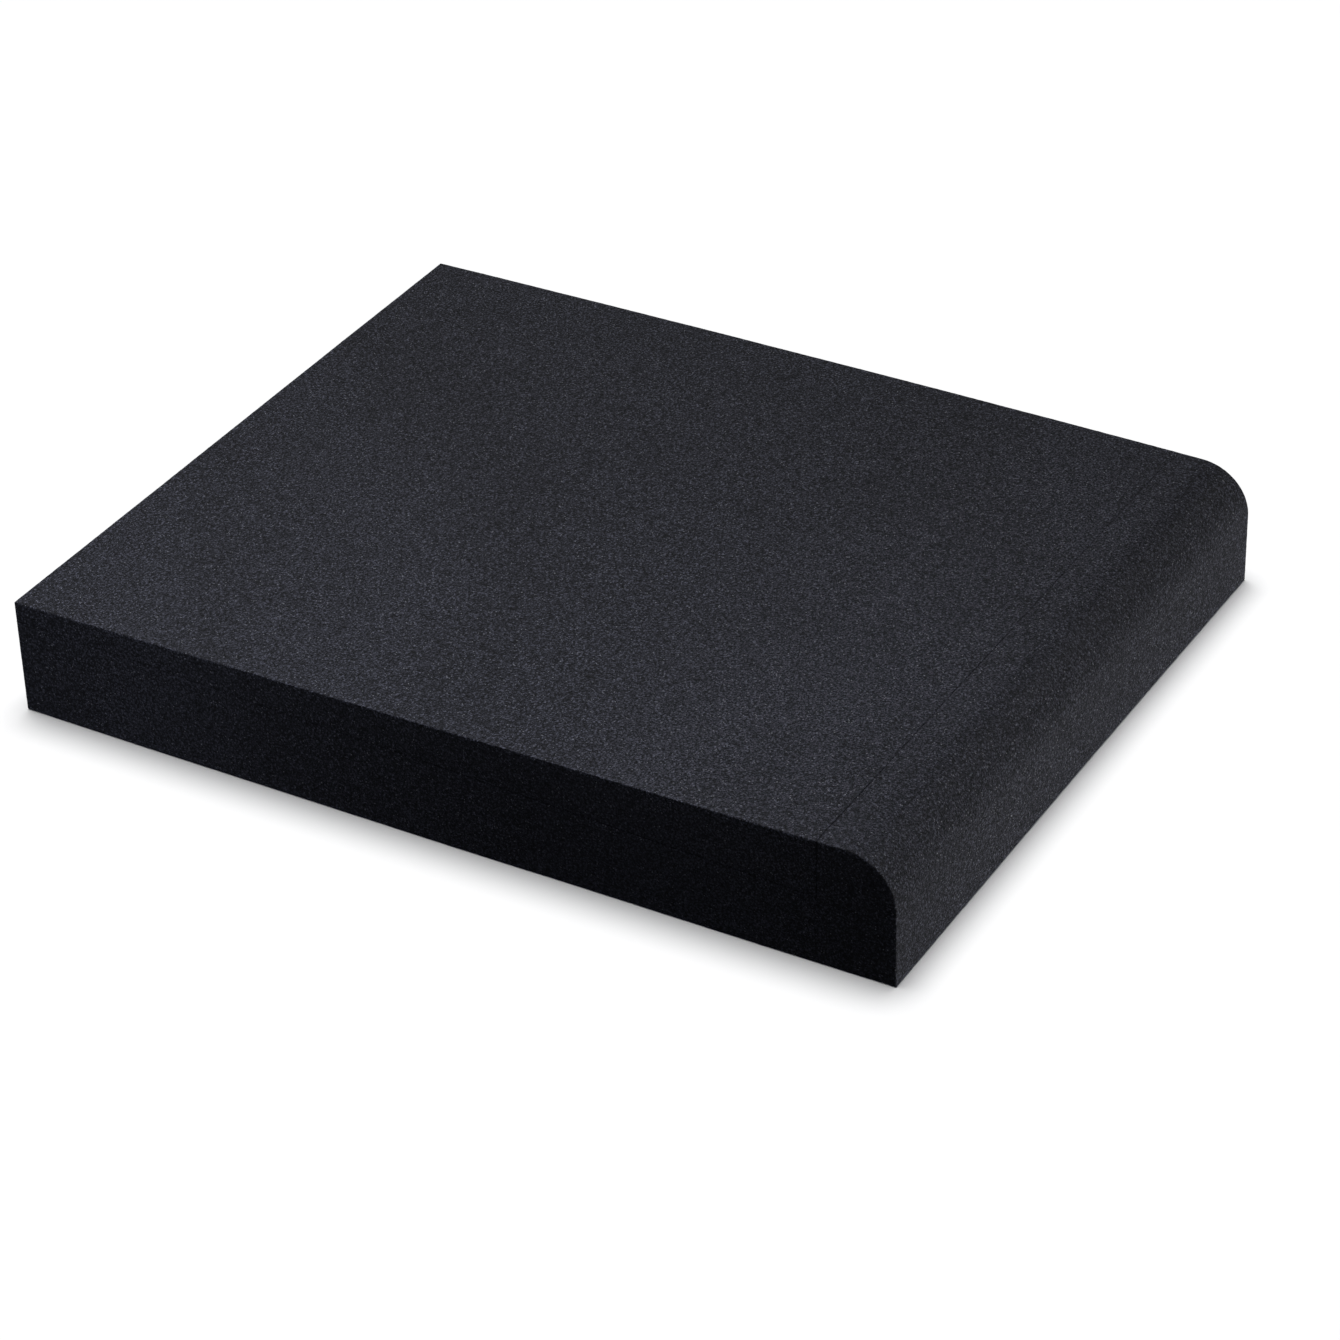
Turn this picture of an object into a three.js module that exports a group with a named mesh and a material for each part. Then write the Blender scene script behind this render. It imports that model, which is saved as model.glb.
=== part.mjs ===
// Speaker isolation pad: a block of black open-cell foam that a studio monitor
// stands on. It comes apart into two pieces of foam:
//   base_pad      the block itself, with a rounded front top edge, an upright
//                 step just behind that edge and a recess whose floor climbs
//                 from the foot of the step to the back
//   wedge_insert  a long wedge that lies in the recess, thick end against the
//                 step, and brings the top back to level
// Millimetres, +Z up. The rounded front faces -Y, the width runs along X.
// The origin is the middle of the underside.

import * as THREE from "three";

// ---- driving dimensions -------------------------------------------------

const LENGTH = 330; // front to back, Y
const WIDTH = 265; // side to side, X
const HEIGHT = 45; // thickness with the wedge in place, Z
const NOSE_RADIUS = 18; // rounding of the front top edge
const NOSE_STEPS = 30; // flats along the quarter round
const STEP_SETBACK = 28; // from the front face to the upright step
const FLOOR_FRONT = 24; // height of the recess floor at the foot of the step
const FLOOR_BACK = 37; // height of the recess floor at the back face
const GAP = 0.3; // clearance between the two foams

const FOAM_COLOUR = 0x26272c;

// ---- derived places -----------------------------------------------------

const FRONT = -LENGTH / 2;
const BACK = LENGTH / 2;
const STEP = FRONT + STEP_SETBACK;

// Height of the recess floor at a given place along the length.
const slope = (FLOOR_BACK - FLOOR_FRONT) / (BACK - STEP);
const floorAt = (y) => FLOOR_FRONT + slope * (y - STEP);

// The clearance is measured square to the floor, so straight up it is a little more.
const RISE = GAP * Math.hypot(1, slope);

// ---- side profiles, each a closed outline in the Y-Z plane ----------------

function baseProfile() {
  const shape = new THREE.Shape();
  shape.moveTo(FRONT, 0);
  shape.lineTo(BACK, 0);
  shape.lineTo(BACK, FLOOR_BACK);
  shape.lineTo(STEP, FLOOR_FRONT);
  shape.lineTo(STEP, HEIGHT);
  shape.lineTo(FRONT + NOSE_RADIUS, HEIGHT);
  for (let i = 1; i <= NOSE_STEPS; i++) {
    const a = Math.PI / 2 + (i / NOSE_STEPS) * (Math.PI / 2);
    shape.lineTo(
      FRONT + NOSE_RADIUS + NOSE_RADIUS * Math.cos(a),
      HEIGHT - NOSE_RADIUS + NOSE_RADIUS * Math.sin(a),
    );
  }
  shape.closePath();
  return shape;
}

function wedgeProfile() {
  const start = STEP + GAP;
  const shape = new THREE.Shape();
  shape.moveTo(start, floorAt(start) + RISE);
  shape.lineTo(BACK, floorAt(BACK) + RISE);
  shape.lineTo(BACK, HEIGHT);
  shape.lineTo(start, HEIGHT);
  shape.closePath();
  return shape;
}

// ---- solids ---------------------------------------------------------------

// A profile drawn as (y, z) is pulled across the full width. The extrusion runs
// along its own Z, so the axes are turned: profile x to +Y, profile y to +Z,
// and the pull to +X.
function acrossWidth(shape) {
  const geometry = new THREE.ExtrudeGeometry(shape, {
    depth: WIDTH,
    steps: 1,
    bevelEnabled: false,
  });
  geometry.translate(0, 0, -WIDTH / 2);
  const turn = new THREE.Matrix4().makeBasis(
    new THREE.Vector3(0, 1, 0),
    new THREE.Vector3(0, 0, 1),
    new THREE.Vector3(1, 0, 0),
  );
  geometry.applyMatrix4(turn);
  geometry.computeVertexNormals();
  return geometry;
}

function foam(name, shape, roughness) {
  const mesh = new THREE.Mesh(
    acrossWidth(shape),
    new THREE.MeshStandardMaterial({
      color: FOAM_COLOUR,
      roughness,
      metalness: 0,
    }),
  );
  mesh.name = name;
  return mesh;
}

const pad = new THREE.Group();
pad.name = "speaker_isolation_pad";
pad.add(foam("base_pad", baseProfile(), 0.96));
pad.add(foam("wedge_insert", wedgeProfile(), 0.96));

export default pad;
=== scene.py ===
"""Looks of the speaker isolation pad: two pieces of black open-cell foam, each a
fine mesh with the relief of its cut cells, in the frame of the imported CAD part."""

import math

import bpy
import numpy as np
from mathutils import Matrix, Vector


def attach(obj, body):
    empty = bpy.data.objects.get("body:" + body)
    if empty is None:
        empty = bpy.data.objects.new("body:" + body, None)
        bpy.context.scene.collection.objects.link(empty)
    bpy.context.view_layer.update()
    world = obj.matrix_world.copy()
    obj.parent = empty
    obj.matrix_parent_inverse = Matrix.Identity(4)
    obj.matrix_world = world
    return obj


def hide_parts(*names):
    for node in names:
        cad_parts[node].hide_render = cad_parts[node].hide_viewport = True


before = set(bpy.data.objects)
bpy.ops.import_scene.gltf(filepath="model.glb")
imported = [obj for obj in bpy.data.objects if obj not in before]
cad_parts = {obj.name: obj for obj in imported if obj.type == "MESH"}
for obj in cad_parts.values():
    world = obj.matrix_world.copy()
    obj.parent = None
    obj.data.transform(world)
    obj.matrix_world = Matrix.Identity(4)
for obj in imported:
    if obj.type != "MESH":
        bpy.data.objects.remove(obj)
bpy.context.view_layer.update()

scene = bpy.context.scene
MM = 0.001

# ---------------------------------------------------------------- sizes, in mm
# The same as the CAD part's: front at -Y, origin in the middle of the underside.
LENGTH, WIDTH, HEIGHT = 330.0, 265.0, 45.0
NOSE_R = 18.0
STEP_SETBACK = 28.0
FLOOR_FRONT, FLOOR_BACK = 24.0, 37.0
FRONT, BACK = -LENGTH / 2, LENGTH / 2
STEP = FRONT + STEP_SETBACK
SLOPE = (FLOOR_BACK - FLOOR_FRONT) / (BACK - STEP)
HALF = WIDTH / 2
SEAM = 0.145  # the two foams all but touch
SEAM_R, EDGE_R = 0.12, 0.4  # softness of the edges at the seam and of the outer ones


def floor_at(y):
    return FLOOR_FRONT + SLOPE * (y - STEP)


# ---------------------------------------------------------------- noise on points
def hash3(i, j, k, seed):
    """One even random number in 0..1 for each whole-number place."""
    n = (
        i.astype(np.int64) * 374761393
        + j.astype(np.int64) * 668265263
        + k.astype(np.int64) * 2147483647
        + seed * 974634777
    ) & 0xFFFFFFFF
    n = ((n ^ (n >> 13)) * 1274126177) & 0xFFFFFFFF
    n = ((n ^ (n >> 16)) * 2246822519) & 0xFFFFFFFF
    n = n ^ (n >> 15)
    return (n & 0xFFFFFF) / float(0xFFFFFF)


def smooth_noise(p, size, seed):
    """Smooth noise, -1..1, with features about size mm across."""
    q = p / size
    f = np.floor(q)
    t = q - f
    t = t * t * (3 - 2 * t)
    i, j, k = (f[:, a].astype(np.int64) for a in range(3))
    out = np.zeros(len(p))
    for di in (0, 1):
        for dj in (0, 1):
            for dk in (0, 1):
                w = (
                    (t[:, 0] if di else 1 - t[:, 0])
                    * (t[:, 1] if dj else 1 - t[:, 1])
                    * (t[:, 2] if dk else 1 - t[:, 2])
                )
                out += w * hash3(i + di, j + dj, k + dk, seed)
    return out * 2 - 1


# ---------------------------------------------------------------- node spacing
def spread(a, b, step, near=(0.18, 0.45, 0.9)):
    """Places from a to b: close together at both ends, for the soft edge, and about step apart between."""
    length = b - a
    inner = length - 2 * near[-1]
    n = max(1, int(round(inner / step)))
    mid = a + near[-1] + inner * np.arange(1, n) / n
    head = [a] + [a + v for v in near]
    tail = [b - v for v in reversed(near)] + [b]
    return np.array(head + list(mid) + tail)


def even(a, b, step):
    n = max(1, int(round((b - a) / step)))
    return a + (b - a) * np.arange(n + 1) / n


# ---------------------------------------------------------------- mesh builder
class Builder:
    """Gathers points in the sharp-edged shape, with what is needed to soften its edges, and faces by region."""

    def __init__(self):
        self.points = []
        self.faces = []
        self.region = []

    def add(self, x, y, z):
        self.points.append((x, y, z))
        return len(self.points) - 1

    def quad(self, a, b, c, d, region):
        self.faces.append((a, b, c, d))
        self.region.append(region)

    def tri(self, a, b, c, region):
        self.faces.append((a, b, c))
        self.region.append(region)

    def patch(self, grid, region):
        """grid[i][j] of point numbers; the face looks out by the right hand from i to j."""
        for i in range(len(grid) - 1):
            r0, r1 = grid[i], grid[i + 1]
            for j in range(len(r0) - 1):
                self.quad(r0[j], r1[j], r1[j + 1], r0[j + 1], region)

    def zip_rows(self, outer, inner, region):
        """Triangles between two rows of points that run the same way, the outer one on the right-hand side."""
        i = j = 0
        n, m = len(outer) - 1, len(inner) - 1
        while i < n or j < m:
            if j >= m or (i < n and (i + 1) / n <= (j + 1) / m):
                self.tri(outer[i], outer[i + 1], inner[j], region)
                i += 1
            else:
                self.tri(outer[i], inner[j + 1], inner[j], region)
                j += 1

    def coarse(self, border, corner_places, rows, cols, region):
        """A hidden face: four border rows in turn, counter-clockwise from outside, and an inner grid of rows by cols."""
        a, b, c, d = (np.array(p) for p in corner_places)

        def place(u, v):
            return (1 - u) * (1 - v) * a + u * (1 - v) * b + u * v * c + (1 - u) * v * d

        mu, mv = 0.5 / cols, 0.5 / rows
        grid = [
            [
                self.add(*place(mu + (1 - 2 * mu) * i / cols, mv + (1 - 2 * mv) * j / rows))
                for j in range(rows + 1)
            ]
            for i in range(cols + 1)
        ]
        self.patch(grid, region)
        sides = [
            [grid[i][0] for i in range(cols + 1)],
            [grid[cols][j] for j in range(rows + 1)],
            [grid[i][rows] for i in range(cols, -1, -1)],
            [grid[0][j] for j in range(rows, -1, -1)],
        ]
        for outer, inner in zip(border, sides):
            self.zip_rows(outer, inner, region)


def softened(points, planes2d, corners, seam_faces):
    """Moves the points of the sharp shape to the soft-edged one.
    planes2d: name to (ny, nz, offset), each a face of the side profile.
    corners: (plane, plane, radius, test), a convex corner of the profile.
    seam_faces: names of the faces that meet the other foam, whose edges are crisper."""
    p = points.copy()
    y, z = p[:, 1], p[:, 2]
    dist = {k: off - (ny * y + nz * z) for k, (ny, nz, off, test) in planes2d.items()}
    for k, (ny, nz, off, test) in planes2d.items():
        dist[k] = np.where(test(y, z), dist[k], 1e9)
    names = list(planes2d)
    stack = np.stack([dist[k] for k in names])
    near = np.argmin(stack, axis=0)
    d2 = np.maximum(stack[near, np.arange(len(p))], 0.0)
    n2 = np.array([[planes2d[k][0], planes2d[k][1]] for k in names])[near]
    move = np.zeros((len(p), 2))
    for ka, kb, r, test in corners:
        na = np.array(planes2d[ka][:2])
        nb = np.array(planes2d[kb][:2])
        wa = np.maximum(0, r - dist[ka])
        wb = np.maximum(0, r - dist[kb])
        on = (wa > 0) & (wb > 0) & test(y, z)
        v = wa[:, None] * na + wb[:, None] * nb
        ln = np.hypot(wa, wb)
        ln = np.where(ln > 0, ln, 1)
        k = np.maximum(wa, wb) / ln - 1
        move[on] += (v * k[:, None])[on]
        n2[on] = (v / ln[:, None])[on]
    p[:, 1:] += move
    dx = HALF - np.abs(p[:, 0])
    r_end = np.array([SEAM_R if k in seam_faces else EDGE_R for k in names])[near]
    wx = np.maximum(0, r_end - dx)
    w2 = np.maximum(0, r_end - d2)
    on = (wx > 0) & (w2 > 0)
    ln = np.where(on, np.hypot(wx, w2), 1)
    k = np.maximum(wx, w2) / ln - 1
    p[on, 0] += (np.sign(p[:, 0]) * wx * k)[on]
    p[on, 1] += (n2[:, 0] * w2 * k)[on]
    p[on, 2] += (n2[:, 1] * w2 * k)[on]
    return p, dx, d2, stack


def vertex_normals(points, faces):
    n = np.zeros_like(points)
    tri = np.array([f for f in faces if len(f) == 3], dtype=np.int64).reshape(-1, 3)
    quad = np.array([f for f in faces if len(f) == 4], dtype=np.int64).reshape(-1, 4)
    for a in (tri, quad):
        if not len(a):
            continue
        if a.shape[1] == 3:
            fn = np.cross(points[a[:, 1]] - points[a[:, 0]], points[a[:, 2]] - points[a[:, 0]])
        else:
            fn = np.cross(points[a[:, 2]] - points[a[:, 0]], points[a[:, 3]] - points[a[:, 1]])
        fn /= np.maximum(np.linalg.norm(fn, axis=1, keepdims=True), 1e-12)
        for c in range(a.shape[1]):
            np.add.at(n, a[:, c], fn)
    return n / np.maximum(np.linalg.norm(n, axis=1, keepdims=True), 1e-12)


# ---------------------------------------------------------------- the base
def make_base():
    b = Builder()
    s = 0.82
    xs = spread(-HALF, HALF, s)
    ys_nose = spread(FRONT, STEP, s)
    ys_slab = spread(STEP, BACK, s * 1.15)
    # heights, as shares: up to the foot of the step, and from there to the top
    low = spread(0, FLOOR_FRONT, s)[:-4]
    low = np.concatenate([low, [FLOOR_FRONT - 0.9, FLOOR_FRONT - 0.45, FLOOR_FRONT]])
    high = np.concatenate([[FLOOR_FRONT], even(FLOOR_FRONT, HEIGHT - 0.9, s)[1:-1], [HEIGHT - 0.9, HEIGHT - 0.45, HEIGHT - 0.18, HEIGHT]])
    rows_nose = np.concatenate([low, high[1:]])
    nl = len(low)

    def slab_rows(y):
        top = floor_at(y)
        lift = (low - 0.9) / (FLOOR_FRONT - 1.8)
        z = np.where(low <= 0.9, low, np.where(low >= FLOOR_FRONT - 0.9, top - (FLOOR_FRONT - low), 0.9 + lift * (top - 1.8)))
        return z

    caps = []
    for x in (-HALF, HALF):
        nose = [[b.add(x, y, z) for z in rows_nose] for y in ys_nose]
        slab = [nose[-1][:nl]] + [[b.add(x, y, z) for z in slab_rows(y)] for y in ys_slab[1:]]
        caps.append((nose, slab))
    for (nose, slab), sign in zip(caps, (-1, 1)):
        for grid in (nose, slab):
            if sign > 0:
                b.patch(grid, "end_right")
            else:
                b.patch([g for g in reversed(grid)], "end_left")

    (n0, s0), (n1, s1) = caps

    def across(first, last):
        """Rows of points that run across the width, one for each pair of end points."""
        out = []
        for a, c in zip(first, last):
            pa = np.array(b.points[a])
            out.append([a] + [b.add(x, pa[1], pa[2]) for x in xs[1:-1]] + [c])
        return out

    # the front, its rounding and the strip of top behind it, from the bottom up and back
    front0 = n0[0] + [n0[i][-1] for i in range(1, len(n0))]
    front1 = n1[0] + [n1[i][-1] for i in range(1, len(n1))]
    wrap = across(front0, front1)
    b.patch([list(r) for r in zip(*wrap)], "wrap")
    # the back, from the top down
    back0, back1 = s0[-1][::-1], s1[-1][::-1]
    back = across(back0, back1)
    b.patch([list(r) for r in zip(*back)], "back")
    # the underside: border in turn from (x-, front) along the front edge
    under = [
        [s[0] for s in s0[::-1]] + [s[0] for s in n0[::-1]][1:],
        wrap[0],
        [s[0] for s in n1] + [s[0] for s in s1][1:],
        back[-1][::-1],
    ]
    b.coarse(
        under,
        [(-HALF, BACK, 0), (-HALF, FRONT, 0), (HALF, FRONT, 0), (HALF, BACK, 0)],
        50,
        62,
        "under",
    )
    # the floor of the recess and the step above it share one border row, which is made here
    foot0, foot1 = s0[0][-1], s1[0][-1]
    foot = [foot0] + [b.add(x, STEP, FLOOR_FRONT) for x in xs[1:-1]] + [foot1]
    floor_border = [
        foot,
        [s[-1] for s in s1],
        back[0][::-1],
        [s[-1] for s in s0[::-1]],
    ]
    b.coarse(
        floor_border,
        [(-HALF, STEP, FLOOR_FRONT), (HALF, STEP, FLOOR_FRONT), (HALF, BACK, FLOOR_BACK), (-HALF, BACK, FLOOR_BACK)],
        52,
        46,
        "floor",
    )
    step_border = [
        foot[::-1],
        n0[-1][nl - 1 :],
        wrap[-1],
        n1[-1][nl - 1 :][::-1],
    ]
    b.coarse(
        step_border,
        [(HALF, STEP, FLOOR_FRONT), (-HALF, STEP, FLOOR_FRONT), (-HALF, STEP, HEIGHT), (HALF, STEP, HEIGHT)],
        6,
        60,
        "step",
    )

    pts = np.array(b.points)
    c, n = math.cos(math.atan(SLOPE)), math.sin(math.atan(SLOPE))
    nose = lambda y, z: y <= STEP + 1e-6
    slab = lambda y, z: y >= STEP - 1e-6
    anywhere = lambda y, z: np.ones(len(y), bool)
    planes = {
        "front": (-1, 0, -FRONT, anywhere),
        "top": (0, 1, HEIGHT, nose),
        "step": (1, 0, STEP, lambda y, z: (y <= STEP + 1e-6) & (z >= FLOOR_FRONT - 1e-6)),
        "floor": (-n, c, -n * STEP + c * FLOOR_FRONT, slab),
        "back": (1, 0, BACK, anywhere),
        "bottom": (0, -1, 0, anywhere),
    }
    corners = [
        ("front", "top", NOSE_R, anywhere),
        ("front", "bottom", EDGE_R, anywhere),
        ("back", "bottom", EDGE_R, anywhere),
        ("back", "floor", SEAM_R, anywhere),
        ("step", "top", SEAM_R, anywhere),
    ]
    return b, pts, planes, corners, ("step", "floor")


# ---------------------------------------------------------------- the wedge
def make_wedge():
    b = Builder()
    s = 1.06
    start = STEP + SEAM
    xs = spread(-HALF, HALF, s)
    ys = spread(start, BACK, s)
    rise = SEAM * math.hypot(1, SLOPE)
    edge = np.array([0, 0.18, 0.45, 0.9])
    share = np.linspace(0, 1, 15)[1:-1]

    def rows(y):
        lo, hi = floor_at(y) + rise, HEIGHT
        return np.concatenate([lo + edge, lo + 0.9 + share * (hi - lo - 1.8), hi - edge[::-1]])

    caps = [[[b.add(x, y, z) for z in rows(y)] for y in ys] for x in (-HALF, HALF)]
    b.patch(caps[1], "end_right")
    b.patch(caps[0][::-1], "end_left")

    def across(first, last):
        out = []
        for a, c in zip(first, last):
            pa = np.array(b.points[a])
            out.append([a] + [b.add(x, pa[1], pa[2]) for x in xs[1:-1]] + [c])
        return out

    top = across([g[-1] for g in caps[0]], [g[-1] for g in caps[1]])
    b.patch([list(r) for r in zip(*top)], "top")
    back_first = caps[0][-1][::-1]
    back_last = caps[1][-1][::-1]
    lower = across(back_first[1:], back_last[1:])
    back = [top[-1]] + lower
    b.patch([list(r) for r in zip(*back)], "back")
    # bottom edge of the front face, shared by the front face and the underside
    foot = [caps[0][0][0]] + [b.add(x, start, floor_at(start) + rise) for x in xs[1:-1]] + [caps[1][0][0]]
    b.coarse(
        [foot, caps[1][0], top[0][::-1], caps[0][0][::-1]],
        [(-HALF, start, floor_at(start) + rise), (HALF, start, floor_at(start) + rise), (HALF, start, HEIGHT), (-HALF, start, HEIGHT)],
        6,
        60,
        "front",
    )
    b.coarse(
        [[g[0] for g in caps[0][::-1]], foot, [g[0] for g in caps[1]], back[-1][::-1]],
        [
            (-HALF, BACK, floor_at(BACK) + rise),
            (-HALF, start, floor_at(start) + rise),
            (HALF, start, floor_at(start) + rise),
            (HALF, BACK, floor_at(BACK) + rise),
        ],
        40,
        50,
        "bottom",
    )
    pts = np.array(b.points)
    c, n = math.cos(math.atan(SLOPE)), math.sin(math.atan(SLOPE))
    anywhere = lambda y, z: np.ones(len(y), bool)
    planes = {
        "front": (-1, 0, -start, anywhere),
        "top": (0, 1, HEIGHT, anywhere),
        "back": (1, 0, BACK, anywhere),
        "bottom": (n, -c, n * STEP - c * (FLOOR_FRONT + rise), anywhere),
    }
    corners = [
        ("front", "top", SEAM_R, anywhere),
        ("back", "top", EDGE_R, anywhere),
        ("back", "bottom", SEAM_R, anywhere),
        ("front", "bottom", SEAM_R, anywhere),
    ]
    return b, pts, planes, corners, ("front", "bottom")


# ---------------------------------------------------------------- cut-foam relief
def relieve(pts, faces, edge, seed, hidden):
    """Lays the relief of cut foam on the softened shape: slow waves of the cutting wire, lumps a few cells across, and each cell's own pit or strut. Points move square to the faces that show, so the seam keeps its width."""
    rng = np.random.default_rng(seed)
    nrm = vertex_normals(pts, [f for f in faces if not hidden[list(f)].any()])
    grow = (
        0.09 * smooth_noise(pts, 61.0, 11)
        + 0.035 * smooth_noise(pts, 23.0, 12)
        + 0.012 * smooth_noise(pts, 7.0, 13)
        + 0.012 * smooth_noise(pts, 2.6, 14)
    )
    cell = rng.normal(0, 0.034, len(pts)) * (1 - 0.55 * edge)
    pit = (rng.random(len(pts)) < 0.035) * rng.uniform(0.04, 0.13, len(pts)) * (1 - 0.8 * edge)
    strut = (rng.random(len(pts)) < 0.03) * rng.uniform(0.03, 0.1, len(pts)) * (1 - 0.7 * edge)
    grow = grow + cell - pit + strut
    return pts + nrm * grow[:, None]


def wander(pts):
    """The path of the cutting wire: the seam strays a little from a straight line."""
    p = pts.copy()
    x = np.zeros_like(pts)
    x[:, 0] = pts[:, 0]
    stray = 0.4 * x[:, 0] / HALF - 0.55 + 0.16 * smooth_noise(x, 47.0, 21) + 0.06 * smooth_noise(x, 11.0, 22)
    p[:, 1] += stray * np.clip(1 - np.abs(pts[:, 1] - STEP) / 14.0, 0, 1)
    y = np.zeros_like(pts)
    y[:, 0] = pts[:, 1]
    lift = 0.35 + 0.15 * smooth_noise(y, 53.0, 23) + 0.07 * smooth_noise(y, 12.0, 24)
    inside = np.clip((pts[:, 1] - STEP) / 10.0, 0, 1) * np.clip((BACK - pts[:, 1]) / 10.0, 0, 1)
    p[:, 2] += lift * inside * np.clip(1 - np.abs(pts[:, 2] - floor_at(pts[:, 1])) / 6.0, 0, 1)
    return p


def as_cut(pts):
    """The real block is a little out of true: its sides bow outward, its top is crowned and twisted by about a millimetre."""
    p = pts.copy()
    u, v = pts[:, 0] / HALF, pts[:, 1] / (LENGTH / 2)
    top = -0.64 + 0.09 * u - 0.43 * v + 0.04 * (1 - u * u) + 0.43 * (1 - v * v) + 1.23 * u * v
    p[:, 2] += top * pts[:, 2] / HEIGHT
    p[:, 0] += (1 - v * v) * (0.86 * (u + 1) / 2 - 0.68 * (1 - u) / 2)
    p[:, 1] += 0.35 * (1 - u * u) * (1 - v) / 2
    return p


# ---------------------------------------------------------------- flat layout of the faces
# region: (direction of u, direction of v, scale, place in the layout); millimetres, each face unrolled square on
def lay_out(b, sharp, plan, side):
    """A UV map with every face flat, undistorted and in a place of its own."""
    names = sorted(plan)
    number = {k: i for i, k in enumerate(names)}
    boxes, coords = [], []
    reg = np.array([number[r] for r in b.region])
    loop_reg = np.repeat(reg, [len(f) for f in b.faces])
    loop_pt = np.concatenate([np.array(f) for f in b.faces])
    out = np.zeros((len(loop_pt), 2))
    for k in names:
        ud, vd, scale, (px, py) = plan[k]
        on = loop_reg == number[k]
        p = sharp[loop_pt[on]]
        uv = np.stack([p @ np.array(ud, float), p @ np.array(vd, float)], 1) * scale
        uv -= uv.min(axis=0)
        out[on] = uv + (px, py)
    assert out.min() > 0 and out.max() < side
    return out / side


BASE_PLAN = {
    "wrap": ((1, 0, 0), (0, 1, 1), 1.0, (2, 2)),
    "end_left": ((0, -1, 0), (0, 0, 1), 1.0, (2, 77)),
    "end_right": ((0, 1, 0), (0, 0, 1), 1.0, (2, 124)),
    "back": ((-1, 0, 0), (0, 0, 1), 1.0, (2, 171)),
    "under": ((0, 1, 0), (1, 0, 0), 0.45, (2, 210)),
    "floor": ((1, 0, 0), (0, 1, 0), 0.38, (153, 210)),
    "step": ((0, 0, 1), (1, 0, 0), 0.45, (256, 210)),
}
WEDGE_PLAN = {
    "top": ((1, 0, 0), (0, 1, 0), 1.0, (2, 2)),
    "end_left": ((0, 0, -1), (0, -1, 0), 1.0, (269, 2)),
    "end_right": ((0, 0, -1), (0, 1, 0), 1.0, (292, 2)),
    "front": ((1, 0, 0), (0, 0, 1), 1.0, (2, 306)),
    "back": ((-1, 0, 0), (0, 0, 1), 1.0, (2, 329)),
    "bottom": ((1, 0, 0), (0, -1, 0), 0.11, (315, 2)),
}


def to_object(name, b, pts, edge, uv):
    mesh = bpy.data.meshes.new(name)
    mesh.from_pydata((pts * MM).tolist(), [], b.faces)
    mesh.uv_layers.new(name="OFBake").data.foreach_set("uv", uv.astype(np.float32).ravel())
    mesh.polygons.foreach_set("use_smooth", [True] * len(mesh.polygons))
    # the edges along the seam stay crisp: a face inside the seam and one outside it share no shading
    inside = {"floor", "step", "front", "bottom"}
    sides = {}
    for f, r in zip(b.faces, b.region):
        for i, j in zip(f, f[1:] + f[:1]):
            sides.setdefault((min(i, j), max(i, j)), set()).add(r in inside)
    sharp_edge = mesh.attributes.new("sharp_edge", "BOOLEAN", "EDGE")
    ends = np.zeros(len(mesh.edges) * 2, dtype=np.int32)
    mesh.edges.foreach_get("vertices", ends)
    ends = np.sort(ends.reshape(-1, 2), axis=1)
    sharp_edge.data.foreach_set("value", [len(sides[(i, j)]) == 2 for i, j in ends.tolist()])
    # the painted edge highlight, which the foam's material reads
    att = mesh.attributes.new("painted_edge_highlight", "FLOAT", "POINT")
    att.data.foreach_set("value", edge.astype(np.float32))
    mesh.update()
    ob = bpy.data.objects.new(name, mesh)
    scene.collection.objects.link(ob)
    return ob


def build(name, maker, seed, plan, side):
    b, sharp, planes, corners, seam_faces = maker()
    soft, dx, d2, stack = softened(sharp, planes, corners, seam_faces)
    # close to an outer edge: next to an end face and to a face of the profile
    second = np.sort(np.concatenate([dx[None], stack]), axis=0)[1]
    edge = np.clip(1 - second / 1.6, 0, 1)
    # painted highlight: the outer edges, but not those at the seam, are painted lighter within 1.4 mm, where light
    # catches them
    outer = [d for d, k in zip(stack, planes) if k not in seam_faces]
    painted_edge_light = np.clip(1 - np.sort(np.stack([dx] + outer), axis=0)[1] / 1.4, 0, 1)
    hidden_regions = {"under", "floor", "step", "bottom", "front"}
    hidden = np.ones(len(sharp), bool)
    for f, r in zip(b.faces, b.region):
        if r not in hidden_regions:
            hidden[list(f)] = False
    pts = relieve(soft, b.faces, edge, seed, hidden)
    if "front" in seam_faces:
        # the wedge's front face comes and goes by a hair, so the seam fades along its length
        x = np.zeros_like(pts)
        x[:, 0] = pts[:, 0]
        hair = 0.035 * smooth_noise(x, 19.0, 31) + 0.02 * smooth_noise(x, 4.0, 32) - 0.06 * pts[:, 0] / HALF
        pts[:, 1] += hair * np.clip(1 - (sharp[:, 1] - STEP) / 6.0, 0, 1)
    pts = as_cut(wander(pts))
    ob = to_object(name, b, pts, painted_edge_light, lay_out(b, sharp, plan, side))
    return ob, b, sharp, pts


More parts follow.
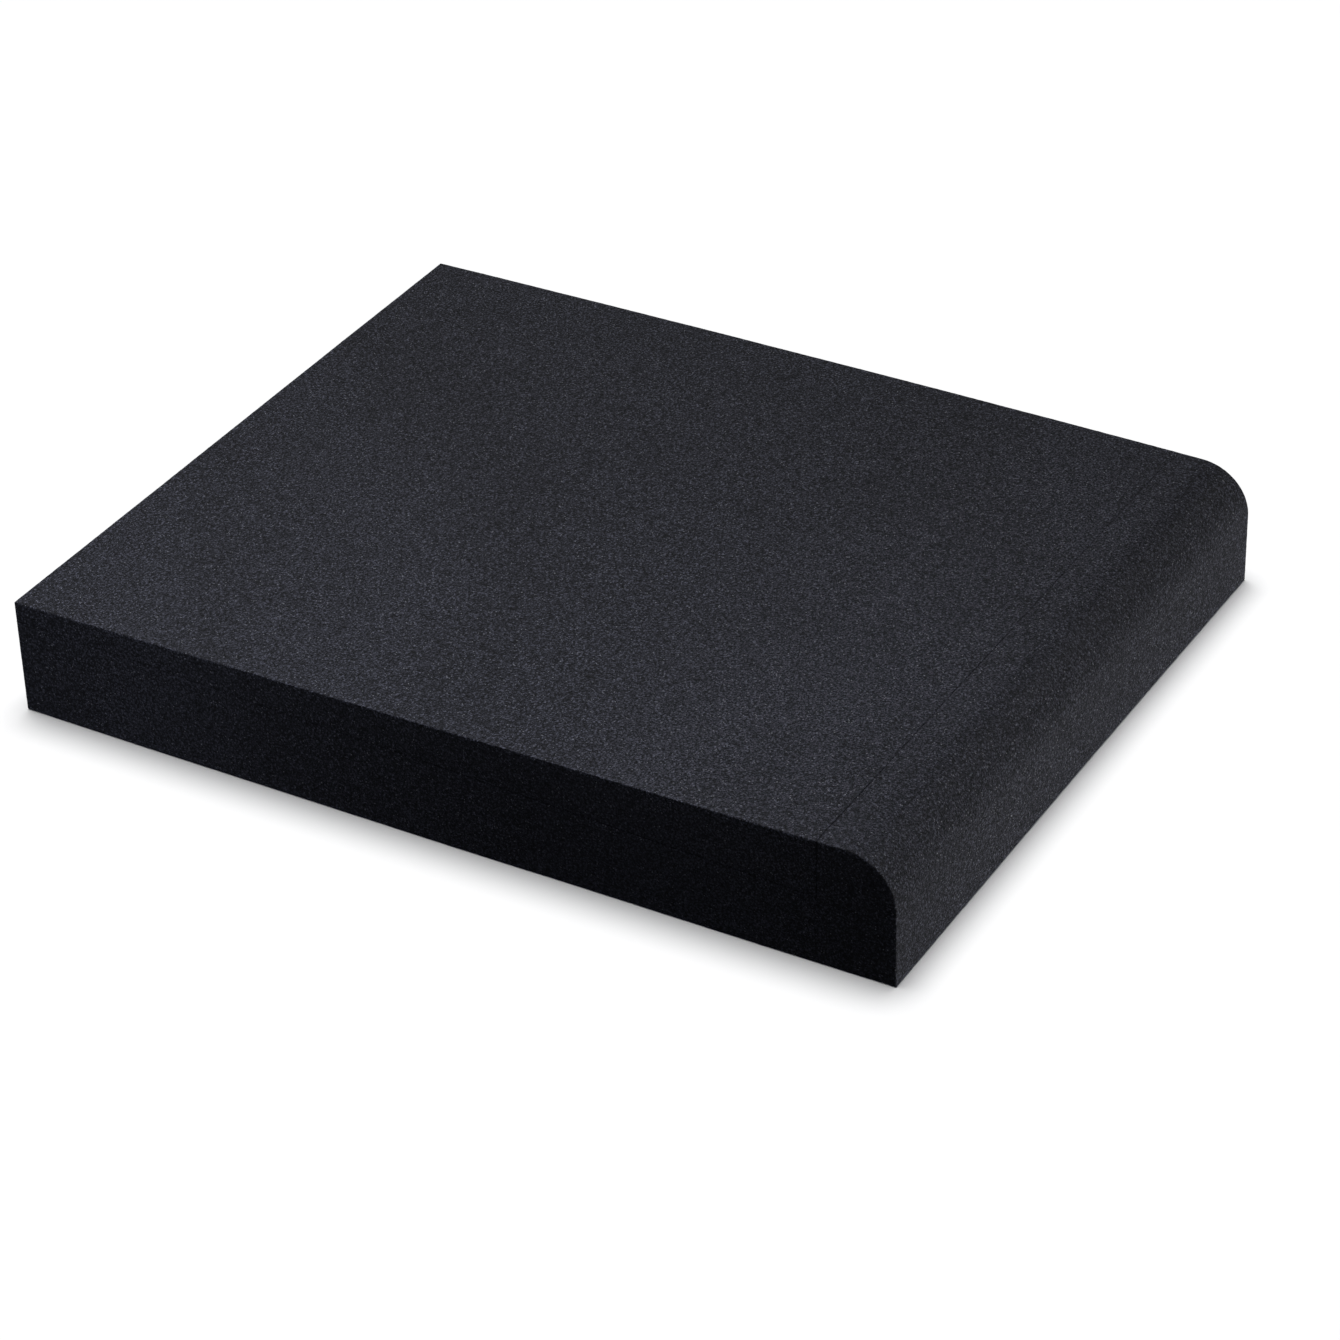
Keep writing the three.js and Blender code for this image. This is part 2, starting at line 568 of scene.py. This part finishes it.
# ---------------------------------------------------------------- the foam's finish
def foam_material(name):
    mat = bpy.data.materials.new(name)
    mat.use_nodes = True
    nt = mat.node_tree
    nt.nodes.clear()
    link = nt.links.new

    def node(kind, **values):
        n = nt.nodes.new(kind)
        for k, v in values.items():
            setattr(n, k, v)
        return n

    def math_node(op, a, b=None, c=None, clamp=False):
        n = node("ShaderNodeMath", operation=op, use_clamp=clamp)
        for i, v in enumerate((a, b, c)):
            if v is None:
                continue
            if isinstance(v, (int, float)):
                n.inputs[i].default_value = v
            else:
                link(v, n.inputs[i])
        return n.outputs[0]

    def ramp(value, low, high, out_low=0.0, out_high=1.0):
        n = node("ShaderNodeMapRange", interpolation_type="SMOOTHSTEP", clamp=True)
        link(value, n.inputs["Value"])
        n.inputs["From Min"].default_value = low
        n.inputs["From Max"].default_value = high
        n.inputs["To Min"].default_value = out_low
        n.inputs["To Max"].default_value = out_high
        return n.outputs["Result"]

    out = node("ShaderNodeOutputMaterial")
    bsdf = node("ShaderNodeBsdfPrincipled")
    link(bsdf.outputs["BSDF"], out.inputs["Surface"])
    place = node("ShaderNodeTexCoord").outputs["Object"]

    # the cells aren't all alike: their places are pushed about before the cells are cut
    push = node("ShaderNodeTexNoise", noise_dimensions="3D")
    push.inputs["Scale"].default_value = 1400.0
    push.inputs["Detail"].default_value = 1.0
    link(place, push.inputs["Vector"])
    shift = node("ShaderNodeVectorMath", operation="MULTIPLY_ADD")
    link(push.outputs["Color"], shift.inputs[0])
    shift.inputs[1].default_value = (0.0003, 0.0003, 0.0003)
    link(place, shift.inputs[2])
    where = shift.outputs["Vector"]

    cells = node("ShaderNodeTexVoronoi", voronoi_dimensions="3D", feature="F1")
    cells.inputs["Scale"].default_value = 2200.0
    link(where, cells.inputs["Vector"])
    walls = node("ShaderNodeTexVoronoi", voronoi_dimensions="3D", feature="DISTANCE_TO_EDGE")
    walls.inputs["Scale"].default_value = 2200.0
    link(where, walls.inputs["Vector"])
    lumps = node("ShaderNodeTexVoronoi", voronoi_dimensions="3D", feature="F1")
    lumps.inputs["Scale"].default_value = 1050.0
    lumps.inputs["Randomness"].default_value = 0.85
    link(place, lumps.inputs["Vector"])
    split = node("ShaderNodeSeparateColor")
    link(cells.outputs["Color"], split.inputs["Color"])
    own, own2, own3 = split.outputs[0], split.outputs[1], split.outputs[2]

    strut = ramp(walls.outputs["Distance"], 0.02, 0.20, 1.0, 0.0)
    # painted shade: most cells are cut open and their pits are painted darker, while some keep a window that catches
    # light and are spared it
    window = ramp(own, 0.55, 1.0)
    pit = ramp(cells.outputs["Distance"], 0.1, 0.75, 1.0, 0.0)
    depth = math_node("MULTIPLY", pit, math_node("SUBTRACT", 1.0, window))

    coarse = node("ShaderNodeTexNoise", noise_dimensions="3D")
    coarse.inputs["Scale"].default_value = 38.0
    coarse.inputs["Detail"].default_value = 3.0
    link(place, coarse.inputs["Vector"])
    grain = node("ShaderNodeTexNoise", noise_dimensions="3D")
    grain.inputs["Scale"].default_value = 1900.0
    grain.inputs["Detail"].default_value = 2.0
    grain.inputs["Roughness"].default_value = 0.6
    link(place, grain.inputs["Vector"])

    # lightness of the foam at a point, about 1 on average: its own tone, with painted shade in the cell hollows and
    # pits and a painted highlight at the outer edges
    # painted shade: the cell walls lighter and the hollows between them darker
    light = math_node("MULTIPLY_ADD", strut, 0.55, 0.68)
    light = math_node("MULTIPLY", light, math_node("MULTIPLY_ADD", math_node("POWER", own, 1.6), 1.6, 0.38))
    # painted shade in the pits of cut-open cells
    light = math_node("MULTIPLY", light, ramp(depth, 0.0, 1.0, 1.0, 0.6))
    light = math_node("MULTIPLY", light, ramp(grain.outputs["Fac"], 0.3, 0.7, 0.62, 1.38))
    light = math_node("MULTIPLY", light, ramp(lumps.outputs["Distance"], 0.1, 0.8, 1.62, 0.4))
    light = math_node("MULTIPLY", light, ramp(coarse.outputs["Fac"], 0.3, 0.7, 0.985, 1.015))
    # painted highlight: the foam is made up to 25% lighter next to its outer edges, where light catches them
    near = node("ShaderNodeAttribute", attribute_type="GEOMETRY", attribute_name="painted_edge_highlight").outputs["Fac"]
    light = math_node("MULTIPLY", light, math_node("MULTIPLY_ADD", near, 0.25, 1.0))

    base = node("ShaderNodeMix", data_type="RGBA", blend_type="MIX")
    base.inputs["A"].default_value = (0.0, 0.0, 0.0, 1)
    base.inputs["B"].default_value = (0.0264, 0.0272, 0.0354, 1)
    base.clamp_factor = False
    link(light, base.inputs["Factor"])

    # painted highlight: the odd film of a cell that lies flat is given a light colour speck for its glint; its lower
    # roughness is real
    painted_glint = math_node(
        "MULTIPLY",
        math_node("GREATER_THAN", own2, 0.982),
        ramp(cells.outputs["Distance"], 0.3, 0.6, 1.0, 0.0),
    )
    colour = node("ShaderNodeMix", data_type="RGBA", blend_type="MIX")
    link(painted_glint, colour.inputs["Factor"])
    link(base.outputs["Result"], colour.inputs["A"])
    # the colour of the painted glint specks
    colour.inputs["B"].default_value = (0.16, 0.164, 0.185, 1)
    link(colour.outputs["Result"], bsdf.inputs["Base Color"])

    rough = math_node("SUBTRACT", 0.95, math_node("MULTIPLY", painted_glint, 0.52))
    link(rough, bsdf.inputs["Roughness"])
    bsdf.inputs["Specular IOR Level"].default_value = 0.2
    bsdf.inputs["IOR"].default_value = 1.45
    bsdf.inputs["Sheen Weight"].default_value = 0.0

    height = math_node("MULTIPLY_ADD", strut, 0.6, math_node("MULTIPLY", depth, -0.7))
    height = math_node("ADD", height, math_node("MULTIPLY", grain.outputs["Fac"], 0.5))
    bump = node("ShaderNodeBump")
    bump.inputs["Strength"].default_value = 1.0
    bump.inputs["Distance"].default_value = 0.0004
    link(height, bump.inputs["Height"])
    link(bump.outputs["Normal"], bsdf.inputs["Normal"])
    return mat


base, base_b, base_sharp, base_pts = build("foam_base", make_base, 41, BASE_PLAN, 335.0)
wedge, wedge_b, wedge_sharp, wedge_pts = build("foam_wedge", make_wedge, 42, WEDGE_PLAN, 345.0)
foam = foam_material("open_cell_foam")
for piece, node_name in ((base, "base_pad"), (wedge, "wedge_insert")):
    piece.data.materials.append(foam)
    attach(piece, "root")
    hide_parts(node_name)

# ---------------------------------------------------------------- floor and light
floor_mesh = bpy.data.meshes.new("studio_floor")
floor_mesh.from_pydata([(-14, -14, 0), (14, -14, 0), (14, 14, 0), (-14, 14, 0)], [], [(0, 1, 2, 3)])
floor = bpy.data.objects.new("studio_floor", floor_mesh)
scene.collection.objects.link(floor)
floor.location.z = -0.0002
floor_mat = bpy.data.materials.new("pale_floor")
floor_mat.use_nodes = True
fb = floor_mat.node_tree.nodes["Principled BSDF"]
fb.inputs["Base Color"].default_value = (0.86, 0.86, 0.86, 1)
fb.inputs["Roughness"].default_value = 1.0
fb.inputs["Specular IOR Level"].default_value = 0.0
floor_mesh.materials.append(floor_mat)
floor.visible_diffuse = False
floor.visible_glossy = False

world = bpy.data.worlds.new("studio")
scene.world = world
world.use_nodes = True
world.cycles.sampling_method = "NONE"  # an even dim world needs no sampling of its own
wn = world.node_tree
wn.nodes.clear()
w_out = wn.nodes.new("ShaderNodeOutputWorld")
w_mix = wn.nodes.new("ShaderNodeMixShader")
w_path = wn.nodes.new("ShaderNodeLightPath")
w_dim = wn.nodes.new("ShaderNodeBackground")
w_dim.inputs["Color"].default_value = (0.45, 0.6, 1.0, 1)
w_dim.inputs["Strength"].default_value = 0.02
w_pale = wn.nodes.new("ShaderNodeBackground")
w_pale.inputs["Color"].default_value = (1, 1, 1, 1)
w_pale.inputs["Strength"].default_value = 1.0
wn.links.new(w_path.outputs["Is Camera Ray"], w_mix.inputs["Fac"])
wn.links.new(w_dim.outputs[0], w_mix.inputs[1])
wn.links.new(w_pale.outputs[0], w_mix.inputs[2])
wn.links.new(w_mix.outputs[0], w_out.inputs["Surface"])


lit_foam = bpy.data.collections.new("lit_foam")
for piece in (base, wedge):
    lit_foam.objects.link(piece)
lit_floor = bpy.data.collections.new("lit_floor")
lit_floor.objects.link(floor)


def add_light(data, place, aim, lights_up, shaded_by=None):
    ob = bpy.data.objects.new(data.name, data)
    scene.collection.objects.link(ob)
    ob.location = place
    ob.rotation_euler = (Vector(aim) - Vector(place)).to_track_quat("-Z", "Y").to_euler()
    ob.visible_camera = False
    ob.light_linking.receiver_collection = lights_up
    if shaded_by is not None:
        ob.light_linking.blocker_collection = shaded_by
    return ob


def softbox(name, place, aim, width, height, watts, colour=(1, 1, 1)):
    """A soft light for the foam. The black foam and the white floor each have lights of their own, as the one needs far more than the other."""
    data = bpy.data.lights.new(name, "AREA")
    data.shape = "RECTANGLE"
    data.size, data.size_y = width, height
    data.energy = watts
    data.color = colour
    return add_light(data, place, aim, lit_foam, lit_foam)


softbox("key_behind", (2.35, 3.95, 4.3), (0, 0, 0.02), 1.9, 1.9, 484)
fill = softbox("above_seam", (-0.05, 0.1, 0.35), (-0.05, -0.123, 0.045), 0.28, 0.04, 0.02)
fill.data.spread = 0.42
softbox("front", (0.6, -2.7, -1.05), (0, 0, 0.02), 1.0, 0.5, 37)
softbox("low_left_front", (-0.092, -0.39, -0.05), (-0.105, -0.165, 0.02), 0.14, 0.1, 0.56)
softbox("strip_above_left", (-0.172, 0.085, 0.35), (-0.172, 0.085, 0.0), 0.15, 0.44, 1.32, (0.88, 0.91, 1.0))
softbox("low_left", (-0.213, 0.135, 0.025), (-0.1325, 0.105, 0.02), 0.12, 0.08, 0.034, (0.88, 0.91, 1.0))
softbox("low_right_front", (0.262, -0.4, -0.07), (0.242, -0.165, 0.02), 0.15, 0.1, 1.05)

ceiling = bpy.data.lights.new("ceiling", "SUN")
ceiling.energy = 3.7
ceiling.angle = 0.61
add_light(ceiling, (0.26, 0.26, 3.0), (0, 0, 0), lit_floor)

# ---------------------------------------------------------------- camera
# Solved from the straight edges of the pad in the 1340 x 1340 photograph.
cam_data = bpy.data.cameras.new("camera")
cam_data.lens = 115.547
cam_data.sensor_width = 36.0
cam_data.clip_end = 60
camera = bpy.data.objects.new("camera", cam_data)
scene.collection.objects.link(camera)
forward = Vector((0.71917429, 0.42852286, -0.54695201))
up = Vector((0.48506015, 0.25398465, 0.83678459))
right = forward.cross(up).normalized()
up = right.cross(forward).normalized()
camera.matrix_world = Matrix(
    (
        (right.x, up.x, -forward.x, -1.06349738),
        (right.y, up.y, -forward.y, -0.64282684),
        (right.z, up.z, -forward.z, 0.80047519),
        (0, 0, 0, 1),
    )
)
scene.camera = camera
scene.view_settings.view_transform = "Standard"
scene.view_settings.look = "None"
